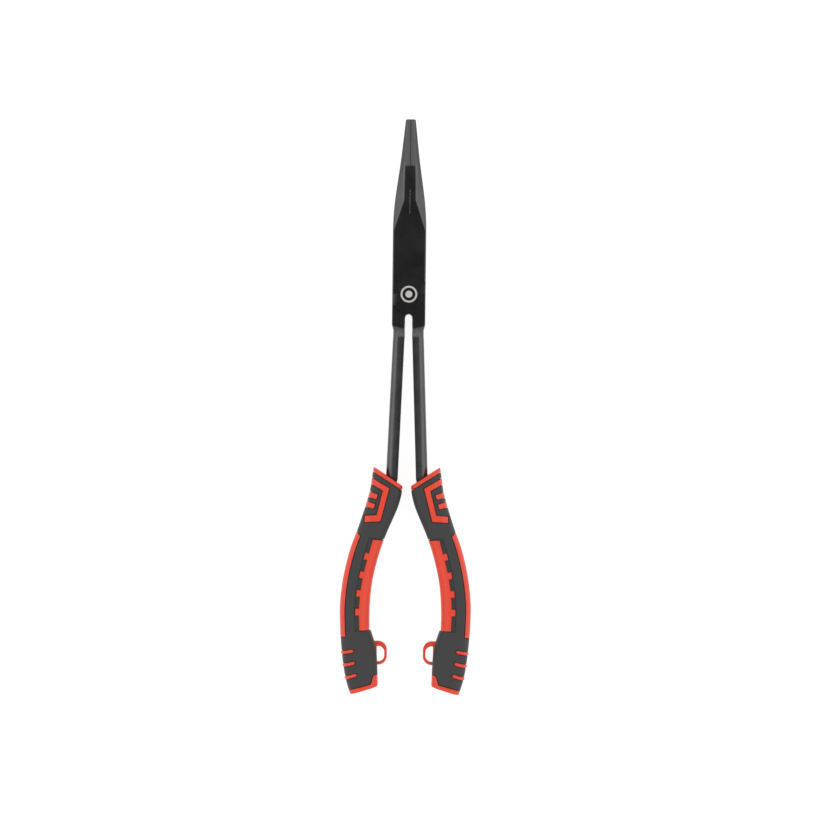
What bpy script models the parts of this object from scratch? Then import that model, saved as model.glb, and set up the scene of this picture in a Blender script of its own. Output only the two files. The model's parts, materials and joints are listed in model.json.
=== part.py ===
"""Long-reach needle-nose pliers, lying flat with the jaws along +Y.

Two identical forged levers cross at a lap joint and turn on one flush rivet. Each
lever is a slim jaw, a half-thickness cheek, a long arm and a tang. Each tang carries
a grip moulded in two shots: a hard red core with a lanyard loop, and a soft grey
overmould whose windows let the core show as stripes, a finger pad and end bands.

One half of the tool is the other half turned over about Y, so each piece is made
once, about the pivot, for the half whose jaw is at -X and whose grip is at +X. Two
empties on the joint's axis then carry the halves, with the grips resting on z = 0.
"""

import math

import bmesh
import bpy

MM = 0.001

# Overall sizes
JAW_REACH = 85.3 * MM  # pivot to jaw tips
HANDLE_REACH = 194.7 * MM  # pivot to the ends of the grips
HEAD_WIDTH = 16.2 * MM
HEAD_THICKNESS = 10.4 * MM
GRIP_LENGTH = 110.7 * MM
GRIP_THICKNESS = 14.0 * MM

# Jaws: lengths are measured back from the tips, widths are across one jaw
TIP_WIDTH = 2.4 * MM
TIP_THICKNESS = 4.0 * MM
TIP_CORNER = 1.2 * MM
TAPER_LENGTH = 20.0 * MM
TAPER_WIDTH = 4.5 * MM
TAPER_BLEND = 300.0 * MM  # radius where the outer edge's two tapers meet
SHOULDER_LENGTH = 45.0 * MM  # where the outer edge would meet the side of the head
SHOULDER_BLEND = 140.0 * MM
NOSE_LENGTH = 23.0 * MM  # sloping flats above and below the tip
FACET_LENGTH = 39.5 * MM  # side facets at full width
FACET_RUNOUT = 15.0 * MM  # stretch over which the facets die into the head
PANEL_WIDTH = 3.1 * MM  # flat left between the seam and a side facet
TIP_PANEL_WIDTH = 1.6 * MM
FACET_DROP = 2.6 * MM  # how far a side facet falls below the flat
NOSE_FACET_DROP = 1.8 * MM
TIP_FACET_DROP = 0.7 * MM
RELIEF_START = 33.4 * MM
RELIEF_LENGTH = 13.4 * MM
RELIEF_DEPTH = 0.2 * MM
EDGE_CHAMFER = 0.4 * MM

# Lap joint and rivet
LAP_OVERLAP = 1.5 * MM  # the cheeks' round shoulders reach this far past the head's sides
RIVET_RADIUS = 3.0 * MM
RIVET_HEAD_RADIUS = 4.5 * MM
RIVET_HEAD_DEPTH = 1.5 * MM
RIVET_RECESS = 0.05 * MM  # how far the rivet's ends lie below the cheeks

# Arms: places are measured from the pivot and from the tool's centre line
SLOT_WIDTH = 3.4 * MM
SLOT_TOP = 9.7 * MM
WEB_TAIL = 0.2 * MM  # the web between a lever's root and the slot ends this far below the slot's round
ROOT_LENGTH = 16.1 * MM  # full head thickness down to here
STEP_LENGTH = 3.3 * MM  # bevel from the head down to the arm
ARM_ROOT_OFFSET = 4.6 * MM
ARM_ROOT_WIDTH = 5.1 * MM
ARM_END_OFFSET = 7.3 * MM
ARM_END_WIDTH = 5.8 * MM
ARM_THICKNESS = 6.6 * MM
ARM_ROUNDING = 0.75  # share of an arm's half section that is rounded on its outer side
TANG_WIDTH = 5.4 * MM
TANG_THICKNESS = 5.0 * MM
TANG_ROUNDING = 0.4
TANG_START = 0.82  # shares of the grip's length where the tang joins its centre line
NECK_ACROSS = 0.22  # how far the tang's neck has swung out towards the centre line by
NECK_ALONG = 0.4  # this share of its run from the arm
TANG_END = 16.0 * MM  # above the end of the grip

# Grips: heights run along the grip, depths run in from its back edge
GRIP_CORNER = 5.0 * MM
GRIP_WALL = 1.4 * MM  # thickness of the soft overmould
RIM_BAND = 2.0 * MM
END_BAND = 2.0 * MM
END_BLOCK_HEIGHT = 6.0 * MM  # the end band climbs this far up the finger side
END_BLOCK_DEPTH = 12.4 * MM
END_BLOCK_SLANT = 1.2 * MM
BAR_DROPS = (11.7 * MM, 16.1 * MM)  # from the mouth down to each bar beside the stripe
STRIP_ROOT = 1.0 * MM  # the back strip is this much wider than the overmould's wall
STRIP_DROP = 28.2 * MM  # from the mouth down to the back strip
STRIP_TAPER = 2.4 * MM
STRIP_TAIL = 2.9 * MM  # the back strip runs this far below the lip
PAD_DROP = 30.0 * MM  # from the mouth down to the finger pad
PAD_DEPTH = 9.4 * MM
PAD_TAPER = 0.6 * MM
PAD_SLANT = 4.6 * MM  # the pad's upper edge rises this much across the grip
TOOTH_WIDTH = 1.8 * MM
TOOTH_HEIGHT = 3.2 * MM
TOOTH_COUNT = 4
FIRST_TOOTH = 9.0 * MM  # above the pad's lower end
LAST_TOOTH = 8.3 * MM  # below the pad's upper end
RIB_PITCH = 5.7 * MM
RIB_COUNT = 3
FIRST_RIB = 7.9 * MM  # above the end of the grip's centre line

# Lanyard loop
LOOP_REACH = 5.0 * MM
LOOP_HEIGHT = 11.5 * MM
LOOP_MIDDLE = 18.1 * MM  # above the end of the grip's centre line
LOOP_THICKNESS = 3.0 * MM
LOOP_CORNER = 4.2 * MM
LOOP_TOP_WALL = 2.4 * MM
LOOP_WALL = 1.3 * MM
LOOP_HOLE_CORNER = 2.9 * MM
LOOP_FOOT_CORNER = 0.4 * MM  # the hole's corners beside the grip
LOOP_FOOT_WALL = 0.1 * MM
LOOP_ROOT = 4.5 * MM  # how deep the loop's foot runs into the grip

# Clearances
JAW_GAP = 0.3 * MM
LAP_GAP = 0.2 * MM
LAP_CLEARANCE = 0.3 * MM
FIT_GAP = 0.15 * MM

# How far a cutter runs past what it cuts
BEYOND = 3.0 * MM

# Outlines on a grip, as (distance below their starting height, depth from the back edge)
STRIPE_CORNERS = (
    (4.9 * MM, -BEYOND),
    (4.9 * MM, 9.9 * MM),
    (20.8 * MM, 9.3 * MM),
    (24.2 * MM, 2.0 * MM),
    (21.7 * MM, 1.2 * MM),
    (19.0 * MM, 6.6 * MM),
    (7.5 * MM, 6.7 * MM),
    (7.5 * MM, -BEYOND),
)
BAR_CORNERS = ((0, -BEYOND), (-1.2 * MM, 4.3 * MM), (0.9 * MM, 4.3 * MM), (2.6 * MM, -BEYOND))
RIB_CORNERS = ((-0.6 * MM, -BEYOND), (-0.9 * MM, 5.6 * MM), (0, 5.6 * MM), (0.6 * MM, -BEYOND))

# Derived
LAP_RADIUS = HEAD_WIDTH / 2 + LAP_OVERLAP
HEAD_TOP = HEAD_THICKNESS / 2
GRIP_TOP = GRIP_THICKNESS / 2
GRIP_END_Y = -HANDLE_REACH
PIVOT_Y = (HANDLE_REACH - JAW_REACH) / 2
PIVOT_Z = max(HEAD_TOP, GRIP_TOP)
BACK_STRIP_WIDTH = GRIP_WALL + STRIP_ROOT
# The grip's plan, down its centre line: height as a share of the grip's length, offset
# from the tool's centre line, width, and tilt in degrees of the line across it. The
# finger side has a small lip between the two runs.
PALM_STATIONS = (
    (0.958, 9.1 * MM, 17.0 * MM, 33.5),
    (0.912, 9.8 * MM, 16.7 * MM, 30.5),
    (0.854, 11.2 * MM, 15.7 * MM, 29.0),
    (0.718, 16.6 * MM, 13.9 * MM, 23.5),
    (0.622, 20.3 * MM, 14.2 * MM, 17.7),
    (0.505, 23.3 * MM, 14.3 * MM, 9.7),
    (0.389, 24.6 * MM, 14.5 * MM, 3.1),
    (0.283, 24.5 * MM, 14.2 * MM, -0.8),
)
FLARE_STATIONS = (
    (0.277, 24.1 * MM, 14.9 * MM, -1.0),
    (0.197, 22.4 * MM, 16.7 * MM, -5.8),
    (0.139, 21.7 * MM, 16.5 * MM, -9.1),
    (0.080, 20.9 * MM, 15.7 * MM, -12.9),
    (0.019, 19.7 * MM, 14.0 * MM, -17.4),
)
GRIP_MOUTH = PALM_STATIONS[0][0] * GRIP_LENGTH
GRIP_BOTTOM = FLARE_STATIONS[-1][0] * GRIP_LENGTH
LIP_HEIGHT = PALM_STATIONS[-1][0] * GRIP_LENGTH
PAST_FINGER_SIDE = max(width for _, _, width, _ in PALM_STATIONS + FLARE_STATIONS) + BEYOND
PALM_RINGS = 12
FLARE_RINGS = 6
TANG_RINGS = 8
EDGE_STEPS = 9  # points along a window's long side
CORNER_STEPS = 3
FILLET_STEPS = 4
LAP_SEGMENTS = 64
RIVET_SEGMENTS = 32


def clear_scene():
    for obj in list(bpy.data.objects):
        bpy.data.objects.remove(obj, do_unlink=True)


def new_collection(name):
    collection = bpy.data.collections.new(name)
    bpy.context.scene.collection.children.link(collection)
    return collection


def between(value, knots):
    """Straight-line interpolation through (place, value) knots in rising order."""
    if value <= knots[0][0]:
        return knots[0][1]
    for (low, first), (high, last) in zip(knots, knots[1:]):
        if value <= high:
            return first + (last - first) * (value - low) / (high - low)
    return knots[-1][1]


def rounded_path(corners):
    """The points of a path through (x, y, fillet radius) corners, with each fillet as an arc."""
    points = []
    for i, (x, y, radius) in enumerate(corners):
        if radius == 0:
            points.append((x, y))
            continue
        before = corners[i - 1]
        after = corners[(i + 1) % len(corners)]
        angle_in = math.atan2(before[1] - y, before[0] - x)
        angle_out = math.atan2(after[1] - y, after[0] - x)
        half = (angle_out - angle_in + math.pi) % (2 * math.pi) - math.pi
        half /= 2
        middle = angle_in + half
        to_centre = radius / abs(math.sin(half))
        centre_x = x + to_centre * math.cos(middle)
        centre_y = y + to_centre * math.sin(middle)
        sweep = math.copysign(math.pi / 2 - abs(half), half)
        for step in range(FILLET_STEPS + 1):
            turn = middle + math.pi + sweep * (1 - 2 * step / FILLET_STEPS)
            points.append((centre_x + radius * math.cos(turn), centre_y + radius * math.sin(turn)))
    return points


def widened(outline, gap):
    """The closed outline moved outwards by gap, with mitred corners."""
    area = sum(x0 * y1 - x1 * y0 for (x0, y0), (x1, y1) in zip(outline, outline[1:] + outline[:1]))
    side = math.copysign(gap, area)
    moved = []
    for i, (x, y) in enumerate(outline):
        before, after = outline[i - 1], outline[(i + 1) % len(outline)]
        in_x, in_y = x - before[0], y - before[1]
        out_x, out_y = after[0] - x, after[1] - y
        in_length, out_length = math.hypot(in_x, in_y), math.hypot(out_x, out_y)
        normal_in = (in_y / in_length, -in_x / in_length)
        normal_out = (out_y / out_length, -out_x / out_length)
        spread = 1 + normal_in[0] * normal_out[0] + normal_in[1] * normal_out[1]
        moved.append(
            (
                x + side * (normal_in[0] + normal_out[0]) / spread,
                y + side * (normal_in[1] + normal_out[1]) / spread,
            )
        )
    return moved


# Tools


def tool_object(name, mesh):
    """A helper solid, kept out of the model."""
    obj = bpy.data.objects.new(name, mesh)
    cutters.objects.link(obj)
    obj.hide_render = True
    obj.display_type = "WIRE"
    return obj


def mesh_from(name, bm):
    bmesh.ops.recalc_face_normals(bm, faces=bm.faces)
    mesh = bpy.data.meshes.new(name)
    bm.to_mesh(mesh)
    bm.free()
    return mesh


def loft(name, rings):
    """A closed solid through rings that have the same number of points."""
    bm = bmesh.new()
    loops = [[bm.verts.new(point) for point in ring] for ring in rings]
    for first, last in zip(loops, loops[1:]):
        for i in range(len(first)):
            j = (i + 1) % len(first)
            bm.faces.new((first[i], first[j], last[j], last[i]))
    bm.faces.new(loops[0])
    bm.faces.new(loops[-1])
    return tool_object(name, mesh_from(name, bm))


def prism(name, outlines, half_thickness):
    """Flat outlines raised to both sides of the mid-plane. An outline inside another is a hole."""
    curve = bpy.data.curves.new(name, "CURVE")
    curve.dimensions = "2D"
    curve.fill_mode = "BOTH"
    curve.extrude = half_thickness
    for outline in outlines:
        spline = curve.splines.new("POLY")
        spline.points.add(len(outline) - 1)
        spline.use_cyclic_u = True
        for point, (x, y) in zip(spline.points, outline):
            point.co = (x, y, 0, 1)
    guide = tool_object(name, curve)
    graph = bpy.context.evaluated_depsgraph_get()
    mesh = bpy.data.meshes.new_from_object(guide.evaluated_get(graph))
    bpy.data.objects.remove(guide)
    bm = bmesh.new()
    bm.from_mesh(mesh)
    bmesh.ops.remove_doubles(bm, verts=bm.verts, dist=1e-7)
    return tool_object(name, mesh_from(name, bm))


def cylinder(name, radius, low, high):
    bm = bmesh.new()
    bmesh.ops.create_cone(
        bm, cap_ends=True, segments=LAP_SEGMENTS, radius1=radius, radius2=radius, depth=high - low
    )
    bmesh.ops.translate(bm, verts=bm.verts, vec=(0, 0, (low + high) / 2))
    return tool_object(name, mesh_from(name, bm))


def turned(name, profile):
    """A solid of revolution about Z. The profile runs down its outer side, top to bottom."""
    bm = bmesh.new()
    points = [bm.verts.new((radius, 0, z)) for radius, z in profile]
    for first, last in zip(points, points[1:]):
        bm.edges.new((first, last))
    mesh = bpy.data.meshes.new(name)
    bm.to_mesh(mesh)
    bm.free()
    obj = tool_object(name, mesh)
    screw = obj.modifiers.new("Turned", "SCREW")
    screw.steps = screw.render_steps = RIVET_SEGMENTS
    screw.use_merge_vertices = True
    screw.merge_threshold = 1e-6
    return baked(obj)


def baked(obj):
    """The object with its modifiers applied, so that the next cut starts from plain faces."""
    graph = bpy.context.evaluated_depsgraph_get()
    mesh = bpy.data.meshes.new_from_object(obj.evaluated_get(graph))
    obj.modifiers.clear()
    obj.data = mesh
    return obj


def combine(base, operation, tool):
    modifier = base.modifiers.new(operation.title(), "BOOLEAN")
    modifier.operation = operation
    modifier.solver = "EXACT"
    modifier.object = tool
    return baked(base)


# Levers


def jaw_outer_edge():
    """(Y, distance from the seam) along one jaw's outer edge, from the pivot to the tip."""
    path = rounded_path(
        (
            (0, JAW_REACH, 0),
            (TIP_WIDTH, JAW_REACH, TIP_CORNER),
            (TAPER_WIDTH, JAW_REACH - TAPER_LENGTH, TAPER_BLEND),
            (HEAD_WIDTH / 2, JAW_REACH - SHOULDER_LENGTH, SHOULDER_BLEND),
            (HEAD_WIDTH / 2, 0, 0),
        )
    )
    return sorted((y, x) for x, y in path[1:])


def jaw_ring(y, edge, seam):
    """Six corners of the jaw's section: flat panels, side facets and an upright outer side."""
    back = JAW_REACH - y
    width = between(y, edge)
    top = between(back, ((0, TIP_THICKNESS / 2), (NOSE_LENGTH, HEAD_TOP)))
    facet_end = FACET_LENGTH + FACET_RUNOUT
    panel = between(
        back,
        (
            (0, TIP_PANEL_WIDTH),
            (NOSE_LENGTH, PANEL_WIDTH),
            (FACET_LENGTH, PANEL_WIDTH),
            (facet_end, HEAD_WIDTH / 2 - EDGE_CHAMFER),
        ),
    )
    drop = between(
        back,
        (
            (0, TIP_FACET_DROP),
            (NOSE_LENGTH, NOSE_FACET_DROP),
            (FACET_LENGTH, FACET_DROP),
            (facet_end, EDGE_CHAMFER),
        ),
    )
    panel = min(panel, width - EDGE_CHAMFER)
    side = top - drop
    return (
        (-seam, y, top),
        (-panel, y, top),
        (-width, y, side),
        (-width, y, -side),
        (-panel, y, -top),
        (-seam, y, -top),
    )


def jaw_rings():
    edge = jaw_outer_edge()
    stations = {y: JAW_GAP / 2 for y, _ in edge}
    for back in (NOSE_LENGTH, FACET_LENGTH, FACET_LENGTH + FACET_RUNOUT):
        stations[JAW_REACH - back] = JAW_GAP / 2
    relief_top = JAW_REACH - RELIEF_START
    relief_bottom = relief_top - RELIEF_LENGTH
    for y in list(stations):
        if relief_bottom < y < relief_top:
            stations[y] += RELIEF_DEPTH
    stations[relief_top] = stations[relief_bottom] = JAW_GAP / 2
    stations[relief_top - EDGE_CHAMFER] = JAW_GAP / 2 + RELIEF_DEPTH
    stations[relief_bottom + EDGE_CHAMFER] = JAW_GAP / 2 + RELIEF_DEPTH
    return [jaw_ring(y, edge, stations[y]) for y in sorted(stations)]


def bar_ring(x, y, tilt, half_width, half_thickness, rounding):
    """Ten corners across an arm: a squared inner side and an outer side rounded by a share."""
    chamfer = EDGE_CHAMFER
    across = max(rounding * half_width, chamfer)
    fall = max(rounding * half_thickness, chamfer)
    waist = 1 - math.sqrt(0.5)  # where a quarter circle's middle lies, as a share of its radius
    section = (
        (-half_width, half_thickness - chamfer),
        (-half_width + chamfer, half_thickness),
        (half_width - across, half_thickness),
        (half_width - waist * across, half_thickness - waist * fall),
        (half_width, half_thickness - fall),
    )
    section += tuple((u, -z) for u, z in reversed(section))
    return [(x + u * math.cos(tilt), y + u * math.sin(tilt), z) for u, z in section]


def arm_rings(gap=0.0):
    """The arm and its tang from the pivot to the tang's end, grown by gap for the grip's socket."""
    slot, side = SLOT_WIDTH / 2, HEAD_WIDTH / 2
    web_end = -SLOT_TOP - slot - WEB_TAIL
    web_middle, web_half = (side + JAW_GAP / 2) / 2, (side - JAW_GAP / 2) / 2
    root_middle, root_half = (side + slot) / 2, (side - slot) / 2
    mouth_x, mouth_y, _, mouth_tilt = grip_station(GRIP_MOUTH)
    arm_end_y = mouth_y - (mouth_x - ARM_END_OFFSET) * math.tan(mouth_tilt)
    step_y = -ROOT_LENGTH - STEP_LENGTH
    rows = [
        (web_middle, 0.0, 0.0, web_half, HEAD_TOP, 0.0),
        (web_middle, web_end, 0.0, web_half, HEAD_TOP, 0.0),
        (root_middle, web_end - WEB_TAIL, 0.0, root_half, HEAD_TOP, 0.0),
        (root_middle, -ROOT_LENGTH, 0.0, root_half, HEAD_TOP, 0.0),
        (ARM_ROOT_OFFSET, step_y, 0.0, ARM_ROOT_WIDTH / 2, ARM_THICKNESS / 2, ARM_ROUNDING),
        (ARM_END_OFFSET, arm_end_y, 0.0, ARM_END_WIDTH / 2, ARM_THICKNESS / 2, ARM_ROUNDING),
    ]
    tang_top = TANG_START * GRIP_LENGTH
    turn = grip_station(tang_top)
    rows.append(
        (
            ARM_END_OFFSET + NECK_ACROSS * (turn[0] - ARM_END_OFFSET),
            arm_end_y + NECK_ALONG * (turn[1] - arm_end_y),
            turn[3] / 2,
            TANG_WIDTH / 2,
            TANG_THICKNESS / 2,
            TANG_ROUNDING,
        )
    )
    for i in range(TANG_RINGS):
        height = tang_top + (TANG_END - tang_top) * i / (TANG_RINGS - 1)
        x, y, _, tilt = grip_station(height)
        rows.append((x, y, tilt, TANG_WIDTH / 2, TANG_THICKNESS / 2, TANG_ROUNDING))
    if gap:
        rows = rows[4:]
        x, y, tilt, half_width, half_thickness, rounding = rows[-1]
        rows.append((x, y - gap, tilt, half_width, half_thickness, rounding))
    return [
        bar_ring(x, y, tilt, half_width + gap, half_thickness + gap, rounding)
        for x, y, tilt, half_width, half_thickness, rounding in rows
    ]


def rivet_profile(gap=0.0):
    """Countersunk at both ends. Grown by gap it is the levers' hole, which runs out past them."""
    top = HEAD_TOP - RIVET_RECESS
    neck = top - RIVET_HEAD_DEPTH
    half = [(RIVET_HEAD_RADIUS + gap, top), (RIVET_RADIUS + gap, neck)]
    if gap:
        half.insert(0, (RIVET_HEAD_RADIUS + gap, top + BEYOND))
    end = half[0][1]
    return [(0, end)] + half + [(radius, -z) for radius, z in reversed(half)] + [(0, -end)]


def slot_cutter():
    """The rounded top of the gap between the arms, cut into the cheek."""
    radius = SLOT_WIDTH / 2
    top = -SLOT_TOP - radius
    outline = [(-radius, -ROOT_LENGTH - BEYOND), (radius, -ROOT_LENGTH - BEYOND), (radius, top)]
    for step in range(1, 8):
        turn = math.pi * step / 8
        outline.append((radius * math.cos(turn), top + radius * math.sin(turn)))
    outline.append((-radius, top))
    return prism("slot_cutter", [outline], HEAD_TOP + BEYOND)


def cheek():
    """The half-thickness disc of the lap joint, trimmed to the head's chamfered sides."""
    chamfer = EDGE_CHAMFER
    side = HEAD_WIDTH / 2
    section = ((-side, HEAD_TOP - chamfer), (-side + chamfer, HEAD_TOP), (side - chamfer, HEAD_TOP),
               (side, HEAD_TOP - chamfer), (side, LAP_GAP / 2), (-side, LAP_GAP / 2))
    reach = LAP_RADIUS + BEYOND
    slab = loft("cheek_slab", [[(x, y, z) for x, z in section] for y in (-reach, reach)])
    disc = cylinder("cheek_disc", LAP_RADIUS - LAP_CLEARANCE / 2, -HEAD_TOP, HEAD_TOP + BEYOND)
    return combine(slab, "INTERSECT", disc)


def lever_mesh():
    lever = loft("lever", jaw_rings())
    combine(lever, "UNION", loft("arm", arm_rings()))
    shoulder = LAP_RADIUS + LAP_CLEARANCE / 2
    combine(lever, "DIFFERENCE", cylinder("lap_cutter", shoulder, -HEAD_TOP - BEYOND, LAP_GAP / 2))
    combine(lever, "UNION", cheek())
    combine(lever, "DIFFERENCE", slot_cutter())
    combine(lever, "DIFFERENCE", turned("rivet_hole", rivet_profile(FIT_GAP)))
    return lever.data


# Grips


def smooth(rows, place):
    """A smooth curve through rows of (place, values...), straight past either end."""
    rows = sorted(rows)
    last = len(rows) - 1
    slopes = []
    for i in range(len(rows)):
        low, high = rows[max(i - 1, 0)], rows[min(i + 1, last)]
        slopes.append([(b - a) / (high[0] - low[0]) for a, b in zip(low[1:], high[1:])])
    for end in (0, last):
        if (place < rows[0][0]) if end == 0 else (place > rows[last][0]):
            run = place - rows[end][0]
            return [value + slope * run for value, slope in zip(rows[end][1:], slopes[end])]
    i = min(sum(row[0] <= place for row in rows[1:]), last - 1)
    span = rows[i + 1][0] - rows[i][0]
    t = (place - rows[i][0]) / span
    weights = (
        2 * t**3 - 3 * t**2 + 1,
        (t**3 - 2 * t**2 + t) * span,
        3 * t**2 - 2 * t**3,
        (t**3 - t**2) * span,
    )
    return [
        a * weights[0] + slope_a * weights[1] + b * weights[2] + slope_b * weights[3]
        for a, slope_a, b, slope_b in zip(rows[i][1:], slopes[i], rows[i + 1][1:], slopes[i + 1])
    ]


def grip_station(height):
    """Centre x and y, width and tilt of the line across the grip at a height above its end."""
    share = height / GRIP_LENGTH
    middle = (PALM_STATIONS[-1][0] + FLARE_STATIONS[0][0]) / 2
    x, width, tilt = smooth(PALM_STATIONS if share > middle else FLARE_STATIONS, share)
    return x, GRIP_END_Y + height, width, math.radians(tilt)


def grip_point(height, depth):
    """The place on the grip's plan this far in from its back edge."""
    x, y, width, tilt = grip_station(height)
    reach = width / 2 - depth
    return x + reach * math.cos(tilt), y + reach * math.sin(tilt)


def grip_ring(height, inset):
    """The grip's section: a rectangle with round corners, flat above and below."""
    x, y, width, tilt = grip_station(height)
    radius = GRIP_CORNER - inset
    half_width = width / 2 - inset - radius
    half_height = GRIP_TOP - inset - radius
    ring = []
    for corner, (side, up) in enumerate(((1, 1), (-1, 1), (-1, -1), (1, -1))):
        for step in range(CORNER_STEPS + 1):
            turn = math.pi / 2 * (corner + step / CORNER_STEPS)
            u = side * half_width + radius * math.cos(turn)
            z = up * half_height + radius * math.sin(turn)
            ring.append((x + u * math.cos(tilt), y + u * math.sin(tilt), z))
    return ring


def grip_solid(name, inset=0.0, overrun=0.0):
    """The grip's body, drawn in by inset and run out past both ends, or stopped short of them."""
    lip = FLARE_STATIONS[0][0] * GRIP_LENGTH
    heights = [GRIP_MOUTH + (LIP_HEIGHT - GRIP_MOUTH) * i / PALM_RINGS for i in range(PALM_RINGS + 1)]
    heights += [lip + (GRIP_BOTTOM - lip) * i / FLARE_RINGS for i in range(FLARE_RINGS + 1)]
    if overrun < 0:
        heights = heights[1:-1]
    if overrun:
        heights = [GRIP_MOUTH + overrun] + heights + [GRIP_BOTTOM - overrun]
    return loft(name, [grip_ring(height, inset) for height in heights])


def marked_outline(start, corners):
    """An outline on the grip's plan, from its corners' places below a starting height."""
    return [grip_point(start - drop, depth) for drop, depth in corners]


def back_strip_outline():
    """The strip along the back edge, tapered at its top."""
    start, end, steps = GRIP_MOUTH - STRIP_DROP, LIP_HEIGHT - STRIP_TAIL, EDGE_STEPS
    full = start - STRIP_TAPER
    inner = [(full + (end - full) * i / steps, BACK_STRIP_WIDTH) for i in range(steps + 1)]
    outer = [(end + (start - end) * i / steps, -BEYOND) for i in range(steps + 1)]
    return [grip_point(*corner) for corner in inner + outer]


def pad_outline():
    """The finger pad: it wraps the finger side and carries square teeth on its edge."""
    top, bottom, steps = GRIP_MOUTH - PAD_DROP, LIP_HEIGHT, EDGE_STEPS
    pitch = (top - LAST_TOOTH - bottom - FIRST_TOOTH) / (TOOTH_COUNT - 1)
    edge = [(top, PAD_DEPTH - PAD_TAPER)]
    for i in reversed(range(TOOTH_COUNT)):
        middle = bottom + FIRST_TOOTH + pitch * i
        high, low = middle + TOOTH_HEIGHT / 2, middle - TOOTH_HEIGHT / 2
        tip = PAD_DEPTH - TOOTH_WIDTH
        edge += [(high, PAD_DEPTH), (high, tip), (low, tip), (low, PAD_DEPTH)]
    edge.append((bottom, PAD_DEPTH))
    far_top = top + PAD_SLANT
    far = [(bottom + (far_top - bottom) * i / steps, PAST_FINGER_SIDE) for i in range(steps + 1)]
    return [grip_point(*corner) for corner in edge + far]


def rim_outline():
    low, high = GRIP_MOUTH - RIM_BAND, GRIP_MOUTH + BEYOND
    corners = ((low, -BEYOND), (low, PAST_FINGER_SIDE), (high, PAST_FINGER_SIDE), (high, -BEYOND))
    return [grip_point(*corner) for corner in corners]


def end_band_outline():
    """The band round the grip's end, with a block that climbs its finger corner."""
    top, low = GRIP_BOTTOM + END_BAND, GRIP_BOTTOM - BEYOND
    block_top = GRIP_BOTTOM + END_BLOCK_HEIGHT
    corners = (
        (low, -BEYOND),
        (low, PAST_FINGER_SIDE),
        (block_top, PAST_FINGER_SIDE),
        (block_top, END_BLOCK_DEPTH + END_BLOCK_SLANT),
        (top, END_BLOCK_DEPTH - END_BLOCK_SLANT),
        (top, -BEYOND),
    )
    return [grip_point(*corner) for corner in corners]


def window_outlines():
    """The plan of every stretch where the core reaches the grip's surface."""
    outlines = [rim_outline(), back_strip_outline(), pad_outline(), end_band_outline()]
    outlines.append(marked_outline(GRIP_MOUTH, STRIPE_CORNERS))
    outlines += [marked_outline(GRIP_MOUTH - drop, BAR_CORNERS) for drop in BAR_DROPS]
    for i in range(RIB_COUNT):
        outlines.append(marked_outline(GRIP_BOTTOM + FIRST_RIB + RIB_PITCH * i, RIB_CORNERS))
    return outlines


def loop_edges():
    """The far and near x, and the low and high y, of the lanyard loop."""
    x, y, width, _ = grip_station(GRIP_BOTTOM + LOOP_MIDDLE)
    finger_edge = x - width / 2
    return finger_edge - LOOP_REACH, finger_edge, y - LOOP_HEIGHT / 2, y + LOOP_HEIGHT / 2


def loop_outline():
    far, near, low, high = loop_edges()
    foot = near + LOOP_ROOT
    corners = ((foot, low, 0), (foot, high, 0), (far, high, LOOP_CORNER), (far, low, LOOP_CORNER))
    return rounded_path(corners)


def loop_hole():
    far, near, low, high = loop_edges()
    left, right = far + LOOP_WALL, near - LOOP_FOOT_WALL
    bottom, top = low + LOOP_WALL, high - LOOP_TOP_WALL
    corners = (
        (right, bottom, LOOP_FOOT_CORNER),
        (right, top, LOOP_FOOT_CORNER),
        (left, top, LOOP_HOLE_CORNER),
        (left, bottom, LOOP_HOLE_CORNER),
    )
    return rounded_path(corners)


def core_mesh():
    """The hard core: a body under the overmould, raised to the surface in every window."""
    shown = grip_solid("shown_core")
    combine(shown, "INTERSECT", prism("windows", window_outlines(), GRIP_TOP + BEYOND))
    core = grip_solid("grip_core", GRIP_WALL, -min(RIM_BAND, END_BAND) / 2)
    combine(core, "UNION", shown)
    combine(core, "UNION", prism("loop", [loop_outline(), loop_hole()], LOOP_THICKNESS / 2))
    combine(core, "DIFFERENCE", loft("socket", arm_rings(FIT_GAP)))
    return core.data


def overmould_mesh():
    """The soft sleeve: the grip's outer form less the core, its windows and the loop's foot."""
    sleeve = grip_solid("grip_overmould")
    combine(sleeve, "DIFFERENCE", grip_solid("core_space", GRIP_WALL - FIT_GAP, BEYOND))
    openings = [widened(outline, FIT_GAP) for outline in window_outlines()]
    combine(sleeve, "DIFFERENCE", prism("window_cutter", openings, GRIP_TOP + BEYOND))
    foot = prism("loop_cutter", [widened(loop_outline(), FIT_GAP)], LOOP_THICKNESS / 2 + FIT_GAP)
    combine(sleeve, "DIFFERENCE", foot)
    return sleeve.data


# Assembly


def material(name, colour, roughness, metallic=0.0):
    made = bpy.data.materials.new(name)
    made.use_nodes = True
    shader = made.node_tree.nodes["Principled BSDF"]
    shader.inputs["Base Color"].default_value = (*colour, 1)
    shader.inputs["Roughness"].default_value = roughness
    shader.inputs["Metallic"].default_value = metallic
    return made


def half_empty(name, turned_over):
    """An empty on the joint's axis that carries one half of the tool."""
    empty = bpy.data.objects.new(name, None)
    empty.location = (0, PIVOT_Y, PIVOT_Z)
    empty.rotation_euler = (0, math.pi if turned_over else 0, 0)
    pliers.objects.link(empty)
    return empty


def place(name, mesh, half):
    obj = bpy.data.objects.new(name, mesh)
    obj.parent = half
    pliers.objects.link(obj)


def finished(mesh, finish):
    mesh.materials.clear()
    mesh.materials.append(finish)
    mesh.shade_smooth()
    mesh.set_sharp_from_angle(angle=math.radians(30))
    return mesh


clear_scene()
pliers = new_collection("needle_nose_pliers")
cutters = new_collection("cutters")

black_steel = material("black_coated_steel", (0.022, 0.02, 0.023), 0.38, 0.0)
red_plastic = material("red_grip_core", (0.72, 0.07, 0.045), 0.4)
grey_rubber = material("grey_grip_overmould", (0.055, 0.052, 0.05), 0.65)

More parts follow.
